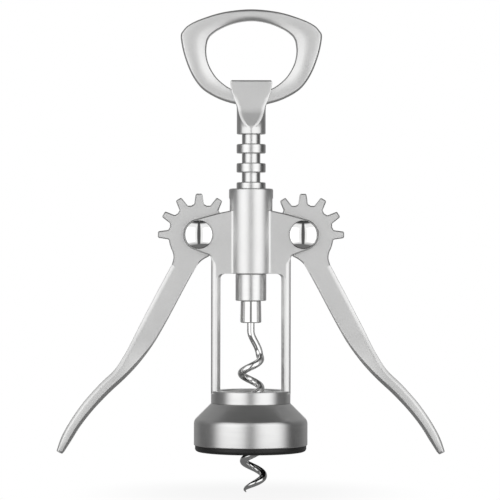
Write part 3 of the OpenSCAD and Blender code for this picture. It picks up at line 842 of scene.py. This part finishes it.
# %% Pins and washers
PIN_FRONT, HEAD_R, HEAD_H = plate_y + 0.76, 3.6, 1.4
WASHER_R, WASHER_HALF, WASHER_Y = 4.5, 0.18, 1.8
under = plate_y + rest_gap
for side, word in ((-1, "left"), (1, "right")):
    pin = turned("pin", [(0, -PIN_FRONT, 0), (pin_r, -PIN_FRONT, 0.1), (pin_r, under, 0),
                         (HEAD_R, under, 0.1), (HEAD_R, under + 0.9, 0.25),
                         (HEAD_R - 0.7, under + HEAD_H, 0.5), (0, under + HEAD_H, 0)], steps=64)
    lay(pin, (-90, 0, 0), (side * pivot_x, 0, pivot_z))
    place(pin, f"{word}_pin_turned", "frame", plain_steel, f"{word}_pivot_pin")
    for y, where in ((-WASHER_Y, "front"), (WASHER_Y, "back")):
        washer = turned("washer", [
            (rod_hole_r, -WASHER_HALF, 0), (WASHER_R, -WASHER_HALF, 0.08), (WASHER_R, WASHER_HALF, 0.08),
            (rod_hole_r, WASHER_HALF, 0)], steps=64, segments=2)
        lay(washer, (90, 0, 0), (side * pivot_x, y, pivot_z))
        place(washer, f"{word}_{where}_shim", "frame", plain_steel, f"{word}_{where}_washer")

# %% [markdown]
# ## Frame
#
# The frame is one die casting: the barrel, two pairs of ears for the wings, and
# two posts down to a collar. The barrel runs into the ears through a hollow
# fillet, which catches the light as a bright line beside a dark one. A bevel
# modifier can't run along a joint between a round and a flat body, so the fillet
# is drawn into the barrel's sections, and the barrel is a loft.

# %% Barrel with its fillets
FILLET_R, FLARE_TOP = 1.5, 74.1
fillet_far = barrel_r + FILLET_R
fillet_x = math.sqrt(fillet_far ** 2 - (plate_y + FILLET_R) ** 2)
fillet_angle, plate_angle = math.atan2(fillet_x, plate_y + FILLET_R), math.atan2(fillet_x, plate_y)
quarter = [math.radians(a) for a in range(0, 48, 4)]
quarter += [mix(fillet_angle, plate_angle, k / 8) for k in range(9)]
quarter += [math.radians(a) for a in (62, 66, 70, 74, 78, 82, 86, 90)]
half_round = quarter + [math.pi - a for a in quarter[-2::-1]]


def barrel_reach(angle, flare):
    """Radius of the barrel's section at an angle from the front."""
    a = min(angle, math.pi - angle)
    if fillet_angle < a <= plate_angle + 1e-9:
        d = a - fillet_angle
        hollow = fillet_far * math.cos(d) - math.sqrt(max(FILLET_R ** 2 - (fillet_far * math.sin(d)) ** 2, 0))
        return mix(barrel_r, hollow, flare)
    return barrel_r


def barrel_section(z, flare, inset):
    around = half_round + [2 * math.pi - a for a in half_round[-2:0:-1]]
    reach = [barrel_reach(min(a, 2 * math.pi - a), flare) - inset for a in around]
    return [(r * math.sin(a), -r * math.cos(a), z) for r, a in zip(reach, around)]


# Height, how far the fillet flares, and how far the edge is rounded inwards
barrel_levels = [
    (barrel_z, 1, 0.5), (barrel_z + 0.15, 1, 0.15), (barrel_z + 0.5, 1, 0), (60, 1, 0), (68, 1, 0),
    (FLARE_TOP, 1, 0), (FLARE_TOP + 0.25, 0.6, 0), (FLARE_TOP + 0.5, 0, 0), (barrel_top - 0.6, 0, 0),
    (barrel_top - 0.3, 0, 0.08), (barrel_top - 0.08, 0, 0.3), (barrel_top, 0, 0.6)]
barrel = loft("barrel", [barrel_section(*level) for level in barrel_levels])
print("barrel:", len(barrel.data.polygons), "faces")

# %% [markdown]
# ### Ears and posts
#
# Each pair of ears is a flat plate with a window below it. The outline is drawn
# once for the right half and mirrored in code, then cut from a disc of the right
# number of corners. The posts are plain blocks that carry on below the plates.

# %% Ears
EAR_R, EAR_LOW, EAR_HIGH, POST_X, PLATE_LOW = 5.5, -70, 76.5, 14.04, 50.2
ear = arc((pivot_x, pivot_z), EAR_R, EAR_LOW, EAR_HIGH, 20)
crotch_z = ear[0][1] - (ear[0][0] - POST_X) * math.tan(math.radians(90 + EAR_LOW))
crown_z = ear[-1][1] + ear[-1][0] * math.tan(math.radians(90 - EAR_HIGH))
crotch = [(POST_X + x, crotch_z + z) for x, z in ((0, -0.9), (0.08, -0.45), (0.3, -0.1), (0.8, 0.29))]
crown = [(mix(ear[-1][0], 0, t), mix(ear[-1][1], crown_z, t) + 0.5 * math.sin(math.pi * t) ** 2 * (1 - t))
         for t in (0.2, 0.4, 0.6, 0.8, 1)]
corner_x, corner_z = window_half - window_r, barrel_z - window_r
right_side = [(POST_X, PLATE_LOW), *crotch, *ear, *crown]
window_side = [(window_half, PLATE_LOW), *arc((corner_x, corner_z), window_r, 0, 90, 8)]
outline = [*right_side, *((-x, z) for x, z in right_side[-2::-1]),
           *((-x, z) for x, z in window_side), *window_side[::-1]]


def free_edge(a, b):
    """The ears' edges and the window's top. The posts' edges are shaped later."""
    low, wide = min(a.z, b.z), max(abs(a.x), abs(b.x))
    return low > crotch_z - 1 if wide > 12 else low > barrel_z - 0.01


for y0, y1 in ((-plate_y, -plate_in), (plate_in, plate_y)):
    combine(barrel, plate("ear_plate", outline, y0, y1, free_edge))
print("ears reach", round(pivot_x + EAR_R, 2), "mm")

# %% Posts
POST_TOP = 50.5
for side in (-1, 1):
    inner, outer = sorted((side * window_half, side * POST_X))
    block = [(inner, -plate_y), (outer, -plate_y), (outer, plate_y), (inner, plate_y)]
    combine(barrel, loft("post", [[(x, y, z) for x, y in block] for z in (rim_z - 1, POST_TOP)]))
print("posts from", window_half, "to", POST_X, "mm")

# %% [markdown]
# ### Edges of the posts
#
# A wide hollow bevel follows the window's edge and dies out round its upper
# corner, and a softer one rounds the outside from the crotch down. Both change
# along their way, so they are planed off with shaped tools: a loft that follows
# the edge and is cut away.

# %% Planes for the edges
def follow(path, bite):
    """A tool along a path of (x, z, way in x, way in z, share), whose section is a bite's curve."""
    sections = []
    for x, z, nx, nz, share in path:
        curve = [(a * share, d * share) for a, d in bite]
        curve = [(-0.6, curve[0][1]), *curve, (curve[-1][0] + 0.02, -1), (-0.6, -1)]
        sections.append([(x + nx * a, -(plate_y - d), z + nz * a) for a, d in curve])
    return loft("edge_tool", sections)


inner_bite = [(0, 1.5), (0.08, 1.32), (0.95, 0.16), (1.1, 0.05), (1.3, 0)]
outer_bite = [(0, 1.5), (0.05, 1.1), (0.25, 0.72), (0.6, 0.42), (1.1, 0.17), (1.6, 0.04), (1.92, 0)]
EDGE_LOW, EDGE_MIDDLE, FADE_LENGTH = rim_z - 0.8, 30, 3.2
inner_path = [(window_half, z, 1, 0, 1) for z in (EDGE_LOW, EDGE_MIDDLE, corner_z)]
for k in range(1, 9):
    a = math.radians(9.5 * k)
    inner_path.append((corner_x + window_r * math.cos(a), corner_z + window_r * math.sin(a),
                       math.cos(a), math.sin(a), mix(1, 0.12, soft_step(k / 8))))
outer_path = [(POST_X, z, -1, 0, 1) for z in (EDGE_LOW, EDGE_MIDDLE, crotch_z - FADE_LENGTH)]
outer_path += [(POST_X, crotch_z - FADE_LENGTH + 0.4 * k, -1, 0, mix(1, 0.15, soft_step(k / 7)))
               for k in range(1, 8)]
for path, bite in ((inner_path, inner_bite), (outer_path, outer_bite)):
    for flip in (1, -1):
        for turn in (0, 180):
            tool = follow([(flip * x, z, flip * nx, nz, share) for x, z, nx, nz, share in path], bite)
            if turn:
                lay(tool, (0, 0, turn))
            combine(barrel, tool, "DIFFERENCE")
print("frame with bevels:", len(barrel.data.polygons), "faces")

# %% Bore and slots
BORE_LOW, BORE_HIGH, BORE_BEVEL = 40, 90, 0.4
bore = turned("bore", [
    (0, BORE_LOW, 0), (bore_r, BORE_LOW, 0), (bore_r, barrel_top + 0.1 - BORE_BEVEL, 0),
    (bore_r + BORE_BEVEL, barrel_top + 0.1, 0), (bore_r + BORE_BEVEL, BORE_HIGH, 0), (0, BORE_HIGH, 0)])
combine(barrel, bore, "DIFFERENCE")
slots = fresh(bpy.ops.mesh.primitive_cube_add, size=MM)
slots.scale = (2 * pivot_x, 2 * (plate_in - 0.01), 2 * slot_half_h)
combine(barrel, lay(slots, at=(0, 0, pivot_z)), "DIFFERENCE")
outward(barrel, 2e-6)
place(barrel, "frame_casting", "frame", cast_alloy, "frame", angle=35)

# %% [markdown]
# ### Collar
#
# The collar under the posts belongs to the same casting, but it was brushed with
# the bell, and a finish can't change along a hard edge of one mesh without a
# second material slot. So it is its own turned ring in the brushed finish.

# %% Collar ring
COLLAR_FLOOR = 8.4
ring = turned("collar", [
    (guide_r, collar_z, 0.15), (collar_r, collar_z, 0.15), (collar_r, rim_z, 0.3), (window_half, rim_z, 0.3),
    (window_half, COLLAR_FLOOR, 0.4), (guide_r, COLLAR_FLOOR, 0.2)], steps=128)
place(ring, "frame_collar", "frame", brushed_shell, "frame")

# %% [markdown]
# ## Wings
#
# A wing is a pinion of seven teeth and a lever in one casting. The pinion is flat
# and is cut as a plate, with a web that runs into the arm on both sides. The arm
# starts as flat as the plate, then twists its mass into a deep, narrow grip, so it
# is a loft along a curve, whose section changes on the way. One wing is made and
# mirrored.

# %% Pinion
ROOT_R, TIP_R, TEETH, TOOTH_TURN, PINION_HALF = 10.5916, 14.4916, 7, 30, 1.6
flank = [(ROOT_R, 2.15), (ROOT_R + 0.1, 1.88), (ROOT_R + 0.45, 1.64), (TIP_R - 0.5, 1.22),
         (TIP_R - 0.15, 1.07), (TIP_R, 0.72)]
tooth = [(u, -v) for u, v in flank] + flank[::-1]


def at_angle(u, v, angle):
    a = math.radians(angle)
    return u * math.cos(a) - v * math.sin(a), u * math.sin(a) + v * math.cos(a)


# From the web's end to the root circle under the first tooth, as radius and angle
under_tooth = [(8.1, -52), (8.6, -46), (9.9, -39.5), (10.45, -35.5)]
pinion = [at_angle(r, 0, a) for r, a in under_tooth]
for i in range(TEETH):
    pinion += [at_angle(u, v, TOOTH_TURN * i) for u, v in tooth]
    if i < TEETH - 1:
        pinion.append(at_angle(ROOT_R, 0, TOOTH_TURN * (i + 0.5)))
# The web, from the last tooth into the arm and up its inner side, in shares of the root radius
web = [(-0.972, -0.34), (-0.93, -0.463), (-0.878, -0.576), (-0.852, -0.689), (-0.847, -0.774),
       (-0.864, -0.869), (-0.906, -1), (-0.4, -1.3), (-0.192, -1.265), (-0.124, -1.128), (-0.039, -0.994),
       (0.022, -0.928), (0.098, -0.861), (0.197, -0.794), (0.321, -0.732), (0.434, -0.623)]
pinion += [(u * ROOT_R, v * ROOT_R) for u, v in web]


def outside_arm(a, b):
    """Leaves the web's short end inside the arm sharp."""
    low = min(a.z, b.z) - pivot_z
    return low > -1.1 * ROOT_R


pinion = [(x - pivot_x, z + pivot_z) for x, z in pinion]
lever = plate("lever", pinion, -PINION_HALF, PINION_HALF, outside_arm)
print("pinion:", TEETH, "teeth")

# %% Arm
arm_reach, arm_drop, arm_w, arm_flat, arm_deep = 48.6, 76.6, 7.4, 3.22, 12
# Shares of reach, drop and width, depth from flat to deep, and the inner bevel's width and fall in mm
arm_line = [
    (0.065, 0.068, 1.39, 0, 0.4, 0.4), (0.107, 0.138, 1.09, 0, 0.4, 0.4), (0.158, 0.2, 1.06, 0, 0.4, 0.4),
    (0.225, 0.28, 1.06, 0, 0.4, 0.4), (0.308, 0.38, 1.05, 0, 0.42, 0.42), (0.385, 0.47, 1, 0.05, 0.6, 0.6),
    (0.446, 0.535, 0.88, 0.25, 0.85, 1.0), (0.505, 0.59, 0.76, 0.5, 1.1, 1.35),
    (0.576, 0.645, 0.64, 0.72, 1.15, 1.3), (0.684, 0.71, 0.62, 0.88, 1.2, 1.2),
    (0.8, 0.79, 0.58, 1, 1.0, 1.0), (0.894, 0.87, 0.52, 1, 0.9, 0.95), (0.959, 0.94, 0.47, 1, 0.8, 0.9),
    (1.005, 1, 0.31, 0.85, 0.4, 0.4)]
line = curve_through([(-x * arm_reach, -z * arm_drop, width * arm_w, mix(arm_flat, arm_deep, deep), *bevel)
                      for x, z, width, deep, *bevel in arm_line], 5)


def arm_section(i, shrink=0.0, shift=0.0):
    """Section of the arm: flat faces front and back, a narrow outer bevel and a wide inner one."""
    x, z, width, depth, inner_w, inner_fall = line[i]
    ahead, behind = line[min(i + 1, len(line) - 1)], line[max(i - 1, 0)]
    run = Vector((ahead[0] - behind[0], ahead[1] - behind[1])).normalized()
    n = Vector((-run.y, run.x))
    w, d = width / 2 - shrink, depth / 2 - shrink
    k = min(1, w / 3)
    outer_w, outer_fall = 1.6 * min(1, w / 2.6), mix(0.3, 0.7, soft_step((depth - 3.2) / 8)) * min(1, w / 1.6)
    inner_w, inner_fall = min(inner_w, 0.75 * w), min(inner_fall, 0.5 * d)
    front = [(-w, outer_fall + 0.35 * k), (-w + 0.05 * k, outer_fall + 0.1 * k), (-w + 0.12 * k, outer_fall),
             (-w + 0.55 * outer_w, 0.3 * outer_fall), (-w + outer_w, 0.02), (w - inner_w - 0.15 * k, 0),
             (w - inner_w, 0.03), (w - 0.05 * k, inner_fall - 0.03), (w, inner_fall + 0.12 * k),
             (w, inner_fall + 0.4 * k)]
    pairs = [(a, -(d - b)) for a, b in front] + [(a, d - b) for a, b in front[::-1]]
    x0, z0 = x + run.x * shift - pivot_x, z + run.y * shift + pivot_z
    return [(x0 + n.x * a, b, z0 + n.y * a) for a, b in pairs]


last = len(line) - 1
arm = loft("arm", [*(arm_section(i) for i in range(last + 1)),
                   arm_section(last, 0.1, 0.12), arm_section(last, 0.3, 0.18)])
combine(lever, arm)
hole = turned("hole", [(0, -3, 0), (turning_hole_r, -3, 0), (turning_hole_r, 3, 0), (0, 3, 0)], steps=48)
combine(lever, lay(hole, (90, 0, 0), (-pivot_x, 0, pivot_z)), "DIFFERENCE")
outward(lever, 2e-6)
right_lever = copy_of(lever, mirrored=True)
for one, word in ((lever, "left"), (right_lever, "right")):
    place(one, f"{word}_wing_casting", f"{word}_wing", cast_alloy, f"{word}_lever", angle=35)

# %% [markdown]
# ## Handle
#
# The handle is a finger ring that doubles as a cap lifter. Its bow is a loft
# round a closed path: every section is the same crowned shape, scaled between an
# outer outline and the opening's outline, and it gets thicker up the sides. The
# stem is a second loft. Low down it is round, and hollows in front and behind
# thin it into the flat lip that catches under a cap. Seen from the front, the
# hollows show as a V.

# %% Ring
# Right halves of both outlines, from the foot to the top, in shares of half the width and of the height
ring_outline = [
    (0, 0), (0.22, 0.023), (0.443, 0.072), (0.657, 0.158), (0.781, 0.254), (0.882, 0.387), (0.962, 0.556),
    (1, 0.717), (0.966, 0.779), (0.883, 0.839), (0.702, 0.902), (0.387, 0.971), (0, 1)]
hole_outline = [
    (0, 0), (0.283, 0.016), (0.502, 0.067), (0.714, 0.168), (0.848, 0.272), (0.955, 0.408), (1, 0.563),
    (0.981, 0.695), (0.946, 0.754), (0.884, 0.803), (0.71, 0.88), (0.393, 0.963), (0, 1)]
ring_w, ring_h, hole_w, hole_h = 49.9, 34.2, 31.9, 25.3
hole_base = 0.56 * (ring_h - hole_h)
LOW_T, GRIP_T, INNER_SHARE = 3.4, 6.4, 0.79


def ring_station(i, side):
    """Outer point, inner point and half thickness of the bow at one place."""
    (a, b), (c, d) = ring_outline[i], hole_outline[i]
    return (side * a * ring_w / 2, b * ring_h, side * c * hole_w / 2, hole_base + d * hole_h,
            mix(LOW_T, GRIP_T, soft_step((b - 0.05) / 0.4)) / 2)


top_i = len(ring_outline) - 1
stations = [ring_station(i, 1) for i in range(top_i + 1)]
stations += [ring_station(i, -1) for i in range(top_i - 1, 0, -1)]
# Offset from the outer edge or from the opening, and drop below the crown, in mm
outer_edge = [(0, 1.35), (0.06, 0.98), (0.24, 0.6), (0.52, 0.24), (0.9, 0.06)]
inner_edge = [(0.45, 0.03), (0.2, 0.3), (0.05, 0.58), (0, 0.95)]
# Share of the way from outside to opening, and the crown's fall as a share of half the thickness
crown_fall = [(0.32, 0), (0.45, 0), (0.58, 0.02), (0.7, 0.07), (0.8, 0.14)]


def bow_section(station):
    """Section of the bow between two points, crowned, with edges of the same size all round."""
    x0, z0, x1, z1, half = station
    width = math.hypot(x1 - x0, z1 - z0)
    front = [(a / width, half - b) for a, b in outer_edge]
    front += [(s, half * (1 - f)) for s, f in crown_fall]
    front += [(1 - a / width, half * INNER_SHARE - b) for a, b in inner_edge]
    round_it = [(s, -d) for s, d in front] + front[::-1]
    return [(mix(x0, x1, s), d, ring_z + mix(z0, z1, s)) for s, d in round_it]


handle = loft("handle", [bow_section(s) for s in curve_through(stations, 5, closed=True)], closed=True)
print("bow:", len(handle.data.polygons), "faces")

# %% Stem and lip
STEM_R, LIP_HALF_T, LIP_TOP, ROD_DEPTH = 5.1, 2.1, 19.05, 7
HOLLOW_TOP, HOLLOW_BEND, HOLLOW_SLOPE = 11, 4, 0.4494
SOFT_EXIT = 0.3
# Height above the stem's foot, and half the lip's width there
lip_widths = [(8.3, STEM_R), (9.9, 5.17), (11.7, 5.85), (13.7, 6.5), (16, 7.1), (18, 7.42), (LIP_TOP, 7.45)]


def hollow(z):
    """Half the depth of stem and lip at a height above the stem's foot."""
    u = HOLLOW_TOP - z
    if u <= 0:
        return LIP_HALF_T
    deep = LIP_HALF_T + HOLLOW_SLOPE * (u * u / (2 * HOLLOW_BEND) if u < HOLLOW_BEND else u - HOLLOW_BEND / 2)
    full = STEM_R - 0.02
    near = max(SOFT_EXIT - abs(deep - full), 0) / SOFT_EXIT
    return min(deep, full) - near * near * SOFT_EXIT / 4


def lip_half_w(z):
    if z <= lip_widths[0][0]:
        return STEM_R
    for (z0, w0), (z1, w1) in zip(lip_widths, lip_widths[1:]):
        if z <= z1:
            return mix(w0, w1, (z - z0) / (z1 - z0))
    return lip_widths[-1][1]


def stem_section(z, inset=0.0):
    """Section at a height: round at the stem, and flat with straight sides at the lip."""
    h = hollow(z) - inset
    w = lip_half_w(z) - inset
    squared = 0.85 * soft_step((z - lip_widths[0][0]) / 5)

    def side(y):
        return w * mix(math.sqrt(max(1 - (y / (STEM_R - inset)) ** 2, 0)), 1, squared)

    corner = side(h)
    ease = min(mix(0.5, 0.2, soft_step((z - 13.4) / 1.4)), corner * 0.4, h * 0.4)
    flat = [(mix(-(corner - ease), corner - ease, k / 10), -h) for k in range(11)]
    low_y = h - 0.5 * ease
    flank = [(side(y), y) for y in [mix(-low_y, low_y, k / 12) for k in range(13)]]
    right = flat + [(corner - 0.1 * ease, -h + 0.4 * ease)] + flank + [(corner - 0.1 * ease, h - 0.4 * ease)]
    return [(x, y, stem_z + z) for x, y in right] + [(-x, -y, stem_z + z) for x, y in right]


heights = [0.25 * k for k in range(3, 53)] + [13.5 + 0.5 * k for k in range(10)]
stem = loft("stem", [stem_section(0, 0.3), stem_section(0.1, 0.1), stem_section(0.3),
                     *(stem_section(z) for z in heights), stem_section(LIP_TOP - 0.5),
                     stem_section(LIP_TOP - 0.08, 0.4), stem_section(LIP_TOP, 0.55)])
combine(handle, stem)
seat_top = stem_z + ROD_DEPTH
rod_seat = turned("rod_seat", [(0, 90, 0), (rod_hole_r, 90, 0), (rod_hole_r, seat_top, 0), (0, seat_top, 0)],
                  steps=48)
combine(handle, rod_seat, "DIFFERENCE")
outward(handle, 2e-6)
place(handle, "ring_handle", "spindle", cast_alloy, "handle", angle=32)

# %% [markdown]
# ## Last touches
#
# The rod that joins handle and worm is a plain cylinder that nobody sees until
# the tool is taken apart, so it keeps its engineering shape and gets its steel.

# %% Rod and the end
nodes["spindle_rod"].data.materials.clear()
nodes["spindle_rod"].data.materials.append(plain_steel)
